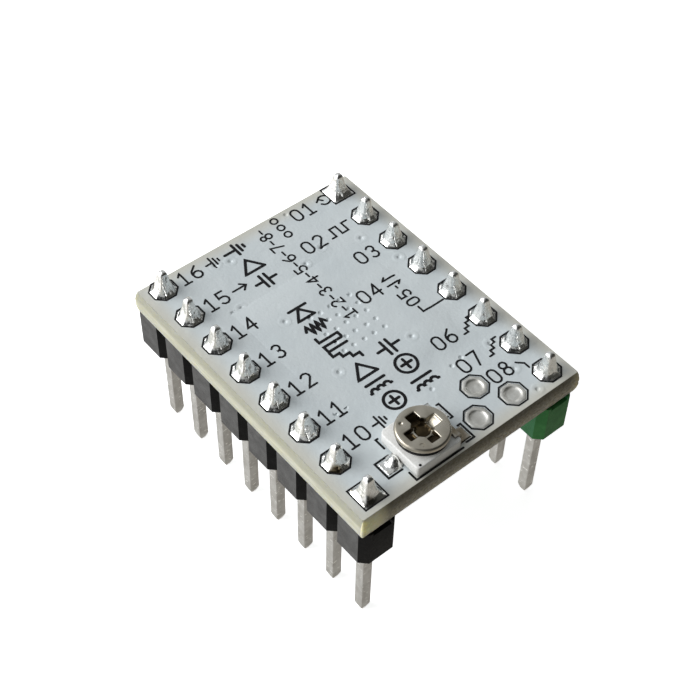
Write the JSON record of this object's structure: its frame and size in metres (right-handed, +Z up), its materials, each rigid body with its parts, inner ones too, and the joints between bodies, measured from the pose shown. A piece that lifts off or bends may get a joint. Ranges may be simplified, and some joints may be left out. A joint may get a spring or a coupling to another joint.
{
  "type": "stepper driver module",
  "caption": "Small two-row circuit board that drives a stepper motor: white board on two pin headers, soldered pins and a cross-slot trimmer that turns to set the current.",
  "frame": {"origin": "on the plane of the pin tips, in the middle of the sixteen pins", "axes": "+X along the pin rows, from the rows' first pins towards the trimmer's end; +Y across the rows, from the black header to the green one; +Z up, out of the trimmer's side of the board"},
  "size_m": [0.0204, 0.0154, 0.0126],
  "materials": {
    "solder_mask": "satin",
    "black_plastic": "satin",
    "green_plastic": "satin",
    "tin_plate": "satin",
    "solder": "polished",
    "trimmer_ceramic": "satin",
    "nickel": "satin",
    "black_film": "matte",
    "chip_epoxy": "matte",
    "capacitor_ceramic": "satin",
    "resistor_black": "satin"
  },
  "bodies": {
    "board": {"circuit_board": "solder_mask", "header_housing_front": "black_plastic", "header_housing_back": "green_plastic", "pin_front_1": "tin_plate", "pin_front_2": "tin_plate", "pin_front_3": "tin_plate", "pin_front_4": "tin_plate", "pin_front_5": "tin_plate", "pin_front_6": "tin_plate", "pin_front_7": "tin_plate", "pin_front_8": "tin_plate", "pin_back_1": "tin_plate", "pin_back_2": "tin_plate", "pin_back_3": "tin_plate", "pin_back_4": "tin_plate", "pin_back_5": "tin_plate", "pin_back_6": "tin_plate", "pin_back_7": "tin_plate", "pin_back_8": "tin_plate", "solder_joint_front_1": "solder", "solder_joint_front_2": "solder", "solder_joint_front_3": "solder", "solder_joint_front_4": "solder", "solder_joint_front_5": "solder", "solder_joint_front_6": "solder", "solder_joint_front_7": "solder", "solder_joint_front_8": "solder", "solder_joint_back_1": "solder", "solder_joint_back_2": "solder", "solder_joint_back_3": "solder", "solder_joint_back_4": "solder", "solder_joint_back_5": "solder", "solder_joint_back_6": "solder", "solder_joint_back_7": "solder", "solder_joint_back_8": "solder", "spare_hole_plug_1": "solder", "spare_hole_plug_2": "solder", "spare_hole_plug_3": "solder", "trimmer_ceramic_base": "trimmer_ceramic", "trimmer_wiper_terminal": "tin_plate", "trimmer_end_terminal_left": "tin_plate", "trimmer_end_terminal_right": "tin_plate", "trimmer_resistive_track": "black_film", "trimmer_rivet": "nickel", "driver_chip": "chip_epoxy", "driver_chip_pad": "tin_plate", "sense_resistor_1": "resistor_black", "sense_resistor_2": "resistor_black", "bulk_capacitor_1": "capacitor_ceramic", "bulk_capacitor_2": "capacitor_ceramic", "charge_pump_capacitor": "capacitor_ceramic", "supply_capacitor": "capacitor_ceramic", "reference_capacitor": "capacitor_ceramic", "mode_resistor_1": "resistor_black", "mode_resistor_2": "resistor_black", "reference_resistor": "resistor_black"},
    "trimmer": {"trimmer_rotor": "nickel", "trimmer_wiper": "nickel"}
  },
  "joints": [
    {"name": "trimmer_turn", "type": "hinge", "parent": "board", "child": "trimmer", "pos_m": [0.00827, -0.00219, 0.01252], "axis": [0, 0, 1], "range_deg": [-135, 135]}
  ]
}
